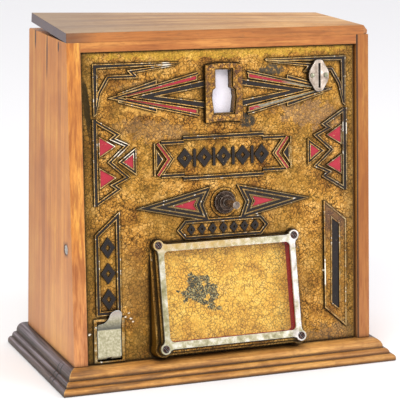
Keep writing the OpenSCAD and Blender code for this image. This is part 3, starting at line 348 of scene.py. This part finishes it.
# Turned steel gives a light grey, with dull spots of 2 mm.
dress(metal("steel_screw_bright", ["#8A8680", "#B4B0A8", "#D8D4CC"], 0.35, mottle=2.0), "side_screws")

# Front casting
# One metal casting in relief, which lies on the cleats between the side boards. Its gold
# bronze paint went over a coat that dried more slowly, so its skin crazed like old varnish.
# Dirt sits along the relief, and the ridges have rubbed bright.

# The casting leans back 29 mm in 270 mm. Places on it go across from its middle, up its
# slope from its foot, and out from its ground, which is 0, to the tops of the relief.
LEAN = math.atan(29 / 270)
FACE = {"origin": (0, -56.388, 18), "turn": (math.pi / 2 - LEAN, 0, 0)}
FACE_OUT = (0.0, -math.cos(LEAN), math.sin(LEAN))

# Half the casting's width, and half the depth of a mark, which goes through all the relief.
casting_half = 127.0
through = 60.0


def crazed_gold(name, tones, crack, cell, face, crack_share, haze, metallic):
    """Crazed bronze paint: raised plates of a size in millimetres between dark cracks.

    The finest crazing of the real paint is under 1 mm. It is drawn at about 3 mm, as coarse as
    it needs to show, and so is the grain of the bronze powder, at 1.5 mm.
    """
    material, shader = new_finish(name)
    grain, cloud, corner = 1.5, 22.0, 0.5
    place = millimetres(material, **face)
    warp = put(material, "TexNoise", {"Vector": place, "Scale": 1 / (cell * 1.6), "Detail": 3.0},
               out="Color")
    warp = put(material, "VectorMath", {0: warp, 1: (0.5, 0.5, 0.5)}, operation="SUBTRACT")
    bent = put(material, "VectorMath", {0: warp, 1: (cell * 1.5,) * 3, 2: place},
               operation="MULTIPLY_ADD")
    plates = put(material, "TexVoronoi", {"Vector": bent, "Scale": 1 / cell}, feature="DISTANCE_TO_EDGE")
    cracks = put(material, "MapRange", {"Value": plates, "From Min": 0.13, "From Max": 0.02},
                 interpolation_type="SMOOTHSTEP")
    shards = put(material, "TexVoronoi", {"Vector": bent, "Scale": 1 / cell}, out="Color")
    shard = put(material, "SeparateColor", {"Color": shards}, out="Red")
    powder = put(material, "TexNoise", {"Vector": place, "Scale": 1 / grain, "Detail": 3.0})
    tone = put(material, "TexNoise", {"Vector": place, "Scale": 1 / cloud, "Detail": 5.0,
                                      "Roughness": 0.6})
    for figure, weight in ((powder, 0.5), (shard, 0.12)):
        tone = put(material, "Math", {0: figure, 1: weight, 2: tone}, operation="MULTIPLY_ADD")
    link(material, toned(material, tone, 0.62, 1.03, tones), shader, "Base Color")
    stain(material, haze, cloudy(material, place, 34, low=0.48, high=0.68), 0.55)
    stain(material, crack, cracks, cloudy(material, place, 9, low=0.26, high=0.5), crack_share)
    edges, rounded = edge_mask(material, corner, gain=6.0)
    swell = put(material, "MapRange", {"Value": plates, "From Max": 0.25})
    swell = put(material, "Math", {0: powder, 1: 0.35, 2: swell}, operation="MULTIPLY_ADD")
    link(material, put(material, "Bump", {"Height": swell, "Strength": 0.45, "Distance": 0.3 * MM,
                                          "Normal": rounded}), shader, "Normal")
    shader.inputs["Metallic"].default_value = metallic
    shader.inputs["Roughness"].default_value = 0.4
    shader.inputs["Specular IOR Level"].default_value = 0.2
    return material, place, edges


# Bronze paint gives a brown gold, half metal and half paint, in small plates that each have a
# tone of their own, with dark lines between them and olive clouds.
gold, gold_place, gold_edges = crazed_gold("bronze_paint_crazed", ["#764A1C", "#C08838", "#ECB868"],
                                           crack="#2E1E0A", cell=3.0, face=FACE, crack_share=0.9,
                                           haze="#74542C", metallic=0.55)
stain(gold, "#94722A", cloudy(gold, gold_place, 46, low=0.44, high=0.6), 0.35)

# Each of these marks is a worn, stained or well kept region of the face: its middle, its
# half sizes, its turn, its strength and its colour.
mottle = cloudy(gold, gold_place, 2.6, low=0.3, high=0.5)
for (mark_x, mark_y), (half_x, half_y), turn, strength, tint in (
        ((86.0, 203.0), (34.0, 12.0), -0.2, 0.6, "#82664C"),
        ((-66.0, 196.0), (34.0, 9.0), -0.15, 0.45, "#7C6246"),
        ((46.0, 243.4), (12.0, 4.5), 0.1, 1.0, "#4A4234"),
        ((24.0, 200.0), (6.0, 8.0), 0.3, 0.95, "#34322C"),
        ((-72.0, 214.0), (20.0, 5.0), -0.2, 0.6, "#E6B058"),
        ((0.0, 260.0), (122.0, 5.0), 0.0, 0.4, "#D4AC3C"),
        ((-60.0, 232.0), (30.0, 7.0), 0.0, 0.4, "#866A48"),
        ((-84.0, 60.0), (12.0, 44.0), 0.1, 0.4, "#7E5C30"),
        ((98.0, 4.0), (40.0, 11.0), 0.1, 0.5, "#645646"),
        ((-100.0, 14.0), (44.0, 14.0), 0.0, 0.45, "#5C4818")):
    stain(gold, tint, patch(gold, gold_place, centre=(mark_x, mark_y, 0.0), half=(half_x, half_y, through),
                            turn=turn, ragged=0.7, grain=7.0), mottle, strength)

# The raised plate round the sight window is dirty, the paint is scraped off down the upper
# left edge, and both edges of the casting are painted darker beside the boards, as shade.
stain(gold, "#4A3430",
      patch(gold, gold_place, centre=(0.0, 230.0, 0.0), half=(26.0, 40.0, through), ragged=0.0),
      along(gold, gold_place, "Z", 2.6, 3.2), cloudy(gold, gold_place, 3.4, low=0.44, high=0.58), 0.75)
stain(gold, "#06080A", patch(gold, gold_place, centre=(-123.0, 218.0, 0.0), half=(3.0, 25.0, through),
                             turn=0.08, ragged=0.22))
# Painted shade along both side edges, where the boards stand beside the casting.
for side in (-1, 1):
    stain(gold, "#4A3812", along(gold, gold_place, "X", side * (casting_half - 16),
                                 side * (casting_half - 1), 0.65))

# What is raised along the right edge has brown clouds, and is browner all over in the upper
# two thirds.
right_relief = (along(gold, gold_place, "X", 95.5, 97), along(gold, gold_place, "Z", 1.0, 1.1))
stain(gold, "#54423C", *right_relief, along(gold, gold_place, "Y", 84, 110), 0.75)
stain(gold, "#6A4A2C", *right_relief, cloudy(gold, gold_place, 6, low=0.4, high=0.6), 0.3)

# The tops of the raised lines are rubbed pale, and dirty in two patches above the pod. White
# glints on them are painted highlights.
rim_tops = (along(gold, gold_place, "Z", 1.22, 1.28), along(gold, gold_place, "Z", 2.1, 1.9),
            facing(gold, FACE_OUT, 0.9, 0.98))
stain(gold, "#DCC490", *rim_tops, cloudy(gold, gold_place, 8, low=0.42, high=0.62), 0.4)
for side in (-1, 1):
    stain(gold, "#5A4E38", *rim_tops, patch(gold, gold_place, centre=(side * 48.0, 130.0, 0.0),
                                            half=(38.0, 20.0, through), ragged=0.0), 0.7)
# Painted highlights: white glints on the tops of the raised lines, in clouds and at the listed spots.
stain(gold, "#FFF8E8", *rim_tops, cloudy(gold, gold_place, 3.6, low=0.62, high=0.68), 0.7)
for (glint_x, glint_y), (half_x, half_y) in (
        ((97.0, 62.0), (2.5, 10.0)), ((-53.0, 250.5), (5.0, 2.4)), ((-70.0, 243.0), (4.0, 3.0)),
        ((-90.0, 177.0), (14.0, 4.0)), ((121.0, 252.0), (3.0, 3.0)), ((117.0, 190.0), (3.0, 6.0)),
        ((-100.0, 186.5), (12.0, 3.0))):
    stain(gold, "#FFF6E4", *rim_tops, patch(gold, gold_place, centre=(glint_x, glint_y, 0.0),
                                            half=(half_x, half_y, through), ragged=0.8, grain=2.5), 0.85)

# The corners are worn pale, partly as a painted highlight, the walls of the relief are brown and
# darkened further as painted shade, and painted shade with some dirt fills the hollows. Small flecks
# show the pale ground, and white spots, mostly round the flap, are partly chips and partly painted
# highlights.
# Pale corners, rubbed and partly a painted highlight.
stain(gold, "#E8C070", gold_edges, 0.35)
# Painted shade on the walls that turn away from the face.
stain(gold, "#684810", facing(gold, FACE_OUT, 0.9, 0.3), 0.85)
# Painted shade, with some dirt, in the hollows.
shade_and_dirt_in_corners(gold, "#2A1C08", reach=7.0, strength=0.8)
shade_and_dirt_in_corners(gold, "#1E1404", reach=3.2, strength=0.95, free=0.97, shut=0.66)
stain(gold, "#F4F0E4", cloudy(gold, gold_place, 1.3, low=0.72, high=0.74),
      cloudy(gold, gold_place, 30, low=0.5, high=0.6))
# White spots: chips, and partly painted highlights.
for spot_x, spot_y, spot_half in (
        (-89.5, 41.6, 0.7), (-87.8, 36.7, 1.0), (-86.0, 34.0, 0.9), (-92.6, 38.4, 0.9),
        (-125.2, 26.1, 1.1), (-115.6, 1.8, 0.8), (95.5, 63.7, 1.1)):
    stain(gold, "#F4ECD8", patch(gold, gold_place, centre=(spot_x, spot_y, 0.0), ragged=0.7, grain=0.9,
                                 half=(spot_half, spot_half * 0.8, through)), 0.8)
dress(gold, "front_casting")

# Enamel fills
# Stove enamel brushed into the relief and baked: red in the points, blue-black on the lines
# and the plates. It is chipped along its edges, where the pale ground shows.


def enamel(name, tone, thick, chip, chipped, roughness):
    """Enamel in pools of two tones, lost at its edges and in spots above a level of noise."""
    material, shader = new_finish(name)
    pool, spot, corner = 7.0, 2.2, 0.35
    place = millimetres(material, **FACE)
    pools = put(material, "TexNoise", {"Vector": place, "Scale": 1 / pool, "Detail": 4.0})
    shader.inputs["Base Color"].default_value = colour(thick)
    stain(material, tone, pools)
    edges, rounded = edge_mask(material, corner, gain=5.0)
    rubbed = put(material, "Math", {0: edges, 1: 0.5}, operation="MULTIPLY")
    spots = cloudy(material, place, spot, low=chipped, high=chipped + 0.05, detail=5.0)
    stain(material, chip, put(material, "Math", {0: rubbed, 1: spots}, operation="MAXIMUM"))
    # Painted shade, with some dirt, in the corners of the relief.
    shade_and_dirt_in_corners(material, "#1C1208", reach=2.0, strength=0.7, free=0.97, shut=0.6)
    link(material, put(material, "Bump", {"Height": pools, "Strength": 0.2, "Distance": 0.2 * MM,
                                          "Normal": rounded}), shader, "Normal")
    shader.inputs["Roughness"].default_value = roughness
    shader.inputs["Specular IOR Level"].default_value = 0.25
    return material


# Red enamel gives a dull crimson. The lower arrow on the right has worn to grey, with a
# paler point.
red = enamel("enamel_red", "#B43040", "#8A1E28", "#B88458", chipped=0.64, roughness=0.42)
red_place = millimetres(red, **FACE)
worn_red = cloudy(red, red_place, 3, low=0.35, high=0.55)
lower_arrow = (patch(red, red_place, centre=(62.0, 219.0, 0.0), half=(34.0, 7.0, 20.0), turn=0.2,
                     ragged=0.6, grain=5.0),)
arrow_point = (along(red, red_place, "X", 56, 66), along(red, red_place, "Y", 212, 216))
for region, faded, bare in ((lower_arrow, "#9C9E88", "#4A4A42"), (arrow_point, "#ACA88E", "#565248")):
    stain(red, faded, *region, 0.85)
    stain(red, bare, *region, worn_red, 0.5)
dress(red, "red_enamel")

# Black enamel gives a flat, slightly blue black, with tan chips.
dress(enamel("enamel_blue_black", "#28201E", "#120F0E", "#8A7858", chipped=0.66, roughness=0.5),
      "black_enamel")

# Sight window pane
# Opal glass, cut to a small rectangle and set in the pocket behind the bottle-shaped hole,
# where the hopper's front holds it.

# Opal glass gives an even, cool white with faint clouds of 12 mm.
pane, pane_shader = new_finish("opal_pane")
pane_shader.inputs["Base Color"].default_value = colour("#D8D4E0")
stain(pane, "#F8F4FA", put(pane, "TexNoise", {"Vector": millimetres(pane), "Scale": 1 / 12, "Detail": 3.0}))
pane_shader.inputs["Roughness"].default_value = 0.25
dress(pane, "window_pane")

# Lens frame
# A nickel-plated stamping with four ears, held on the casting's pod by four steel screws.
# Under it lie the sheet of glass, the recess with its red card liner, and the gold panel at
# its back.

# The pod leans 9 degrees more than the face. Places on it go the same way as on the face.
pod_tilt = math.radians(9)
POD = {"origin": (0, -63.263, 73.854), "turn": (math.pi / 2 - LEAN - pod_tilt, 0, 0)}
POD_IN = (0.0, math.cos(LEAN + pod_tilt), -math.sin(LEAN + pod_tilt))

# Old nickel gives a warm, yellowish silver with dull clouds. It is darker at the left end, has a
# painted whiter highlight at the right, and a rusty tinge along its top bar.
nickel = metal("nickel_plate_mottled", ["#6E683F", "#BEB694", "#FFFCF0"], 0.32, mottle=6.0, metallic=0.6,
               wear=0.8)
nickel_place = millimetres(nickel, **POD)
stain(nickel, "#8C8250", along(nickel, nickel_place, "X", -50, -62, 0.4),
      cloudy(nickel, nickel_place, 8, low=0.35, high=0.55))
# Painted highlight along the right end.
stain(nickel, "#F8F0F8", along(nickel, nickel_place, "X", 48, 60, 0.5),
      cloudy(nickel, nickel_place, 7, low=0.35, high=0.55))
stain(nickel, "#C89C44", along(nickel, nickel_place, "Y", 36, 42, 0.6),
      along(nickel, nickel_place, "X", 40, -10), cloudy(nickel, nickel_place, 10, low=0.26, high=0.46))
# Painted shade, with some dirt, in its corners.
shade_and_dirt_in_corners(nickel, "#3A2E18", reach=3.0, strength=0.7)
dress(nickel, "lens_frame")

# The screws' steel has gone brown-black, with painted shade and dirt in its slots and paler rims.
screw_steel = metal("steel_screw_darkened", ["#2A1C18", "#4A3630", "#6E5A50"], 0.4, mottle=2.0, wear=0.6)
shade_and_dirt_in_corners(screw_steel, "#120C0A", reach=1.6, strength=0.95, free=0.97, shut=0.6)
dress(screw_steel, "frame_screws")

# The panel has the casting's paint, kept yellow and more like paint than metal by the glass.
# A dark bare mark lies on its left half, with tan specks in it, and its back is a dull tan.
panel, panel_place, _ = crazed_gold("bronze_paint_field", ["#CE9638", "#F0BC4E", "#F8D070"],
                                    crack="#5E3812", cell=2.9, face=POD, crack_share=0.72,
                                    haze="#E2A238", metallic=0.2)
speckle = put(panel, "TexNoise", {"Vector": panel_place, "Scale": 1 / 1.6, "Detail": 4.0, "Roughness": 0.8})
bare_mark = patch(panel, panel_place, centre=(-22.0, 2.0, 0.0), half=(19.0, 13.0, through), turn=-0.5,
                  ragged=0.9, grain=9.0)
bare_mark = put(panel, "Math", {0: bare_mark, 1: speckle}, operation="MULTIPLY")
bare_mark = put(panel, "MapRange", {"Value": bare_mark, "From Min": 0.36, "From Max": 0.48})
stain(panel, "#2E3026", bare_mark)
stain(panel, "#A89C70", bare_mark, cloudy(panel, panel_place, 1.5, low=0.52, high=0.6))
stain(panel, "#A88E66", facing(panel, POD_IN, 0.3, 0.6))
dress(panel, "field_panel")

# Painted card gives a flat deep red.
liner, liner_shader = new_finish("card_painted_red")
liner_shader.inputs["Base Color"].default_value = colour("#90121A")
liner_shader.inputs["Roughness"].default_value = 0.6
liner_shader.inputs["Specular IOR Level"].default_value = 0.2
dress(liner, "recess_liner")

# Sheet glass is clear from the front and shines more and more towards a slant.
glass = bpy.data.materials.new("sheet_glass")
glass.use_nodes = True
glass.node_tree.nodes.clear()
clear = put(glass, "BsdfTransparent", {"Color": colour("#FCFDFC")})
shine = put(glass, "BsdfGlossy", {"Roughness": 0.03})
slant = put(glass, "LayerWeight", {"Blend": 0.5}, out="Facing")
slant = put(glass, "Math", {0: slant, 1: 4.0}, operation="POWER")
slant = put(glass, "Math", {0: slant, 1: 0.7, 2: 0.02}, operation="MULTIPLY_ADD")
put(glass, "OutputMaterial", {"Surface": put(glass, "MixShader", {0: slant, 1: clear, 2: shine})})
dress(glass, "lens_glass")

# Coin plate
# A pressed and nickelled escutcheon with a raised rib and a slot. Two rivets hold it on the
# casting, in front of the coin chute.

# Nickel gives a warm silver here, and the rivets' heads are duller and greener.
dress(metal("nickel_plate_bright", ["#7C6C5C", "#B8A898", "#E4D8CA"], 0.34, mottle=5.0, metallic=0.6),
      "coin_plate")
dress(metal("nickel_rivets", ["#5A5A44", "#8A8A70", "#B4B29C"], 0.35, mottle=1.5, metallic=0.8),
      "coin_rivets")

# Spindle and bushing
# A turned steel shaft in a flanged bushing with a lock nut. All are dark with oil, and the
# shaft's end is worn bright where the missing knob sat.

# Oiled steel gives a near black, with bright edges that are partly rubbed and partly a painted
# highlight, and painted shade with some dirt in its corners.
oily = metal("steel_oiled", ["#241A14", "#423228", "#705E50"], 0.34, mottle=3.0, metallic=0.8,
             wear=0.9, worn="#C8B8A8")
shade_and_dirt_in_corners(oily, "#140E08", reach=3.0, strength=0.8)
dress(oily, "spindle_bushing")
dress(screw_steel, "bushing_nut")

# The worn end is a pale grey, and the oil darkens it towards the flange.
shaft = metal("steel_shaft_worn", ["#4A3C32", "#7C6E62", "#B8ACA0"], 0.3, mottle=3.0, metallic=0.85,
              wear=0.9, worn="#E0D6CC")
stain(shaft, "#3A2A1E", along(shaft, millimetres(shaft, **FACE), "Z", 14, 6, 0.8))
dress(shaft, "spindle")

# Folded galvanised sheet for the hopper, the chute and the plate, cut brass gears, and
# turned steel posts and arbors. The coin chute is drawn as black sheet, as painted shade seen
# through the coin slot.

# Galvanised sheet gives a flat, cool grey with spangles drawn 14 mm wide.
dress(metal("sheet_galvanised", ["#84868A", "#A6A8AA", "#C4C6C6"], 0.4, mottle=14.0),
      "mechanism_plate", "gum_hopper", "gum_housing", "gum_chute")

# The chute's soft black, brown along its edges, is painted shade for the coin slot.
dress(metal("sheet_black_slot_shade", ["#0E0D0D", "#181616", "#262222"], 0.5, mottle=9.0, metallic=0.0,
            worn="#4A4440"), "coin_chute")

# Brass gives a dull yellow, steel a clean grey, and cast aluminium a paler, rougher one.
dress(metal("brass_dull", ["#8A6A34", "#B08C4C", "#D0AC68"], 0.38, mottle=6.0),
      "drive_gear", "idler_gear", "gum_gear", "coin_lever", "lock_plug")
dress(metal("steel_bright", ["#8C8A86", "#B0AEA8", "#D0CEC8"], 0.3),
      "plate_posts", "idler_arbor", "gum_arbor", "lever_post", "lock_disc", "gum_door_pin",
      "gum_door_spring", "lock_body", "lock_nut", "lock_cam", "lock_strike")
dress(screw_steel, "post_nuts")
dress(metal("aluminium_cast", ["#8E8C84", "#B4B2AA", "#CCCAC2"], 0.5, mottle=5.0), "gum_wheel")

# Gum door
# A flap of sheet steel, with its hinge rolled and its bell-shaped lip pressed out. It is
# nickelled, and fingers have worn the lip.

# Worn nickel gives a yellowish grey in fine spots, with a painted shadow at the crease above the
# lip that fades upwards, and a painted highlight strip higher up.
crease = 29.0
flap_plate = metal("flap_plated_worn", ["#8A8666", "#B2AC8C", "#D4CEB4"], 0.36, mottle=1.6, metallic=0.5,
                   wear=0.8)
flap_place = millimetres(flap_plate, **FACE)
stain(flap_plate, "#3C3E40", along(flap_plate, flap_place, "Y", crease - 0.2, crease + 0.4),
      along(flap_plate, flap_place, "Y", crease + 10, crease + 1, 0.85))
# Painted highlight strip above the lip.
stain(flap_plate, "#DCDCE2", along(flap_plate, flap_place, "Y", crease + 7, crease + 15, 0.6))
dress(flap_plate, "gum_flap")

# Hinges
# Two pressed brass butt hinges with their pins, between the cabinet and its back door. No
# one polishes them, so the brass has gone brown.

dress(metal("brass_browned", ["#5C4A28", "#86703E", "#AC9458"], 0.42, mottle=5.0),
      "hinge_leaves_fixed", "hinge_leaves_moving", "hinge_pins")

# Floor, light and camera
# A pale sheet under the machine, one broad soft light from the front left, a weaker one
# from the right, and a bright surround, as in a small product studio.

floor_half = 6.0
bpy.ops.mesh.primitive_plane_add(size=2 * floor_half, location=(0, 0, 0))
floor = bpy.context.object
floor.name = "pale_floor"
floor_paper, floor_shader = new_finish("paper_white")
floor_shader.inputs["Base Color"].default_value = colour("#F4F4F4")
floor_shader.inputs["Roughness"].default_value = 0.8
floor.data.materials.append(floor_paper)

world = bpy.data.worlds.new("studio")
bpy.context.scene.world = world
world.use_nodes = True
surround = world.node_tree.nodes["Background"].inputs
surround["Color"].default_value = colour("#FDFCFF")
surround["Strength"].default_value = 0.92


def soft_light(name, place, target, size, power, tint):
    """A flat lamp of a size in metres and a power in watts, turned to a target."""
    lamp = bpy.data.lights.new(name, "AREA")
    lamp.shape = "RECTANGLE"
    lamp.size, lamp.size_y = size
    lamp.energy = power
    lamp.color = colour(tint)[:3]
    holder = bpy.data.objects.new(name, lamp)
    holder.location = place
    holder.rotation_euler = (Vector(target) - Vector(place)).to_track_quat("-Z", "Y").to_euler()
    bpy.context.scene.collection.objects.link(holder)


soft_light("key", (-1.2, -1.6, 1.9), (0, 0, 0.12), (1.4, 1.2), 38.0, "#FFFCF6")
soft_light("fill", (1.8, -1.4, 1.0), (0, 0, 0.15), (1.2, 1.2), 24.0, "#FAFAFF")

# The camera that was fitted to the photo: it stands in front, a little to the left and above.
camera_place = (-0.5917, -1.3703, 0.4833)
camera_yaw = math.radians(23.20)
camera_pitch = math.radians(12.94)
camera_roll = math.radians(1.51)
view = bpy.data.cameras.new("view")
view.sensor_width = 36.0
view.lens = 155.7
view.clip_end = 100.0
camera = bpy.data.objects.new("view", view)
camera.matrix_world = (Matrix.Translation(camera_place) @ Matrix.Rotation(-camera_yaw, 4, "Z")
                       @ Matrix.Rotation(math.pi / 2 - camera_pitch, 4, "X")
                       @ Matrix.Rotation(camera_roll, 4, "Z"))
bpy.context.scene.collection.objects.link(camera)
bpy.context.scene.camera = camera
bpy.context.scene.view_settings.view_transform = "Standard"
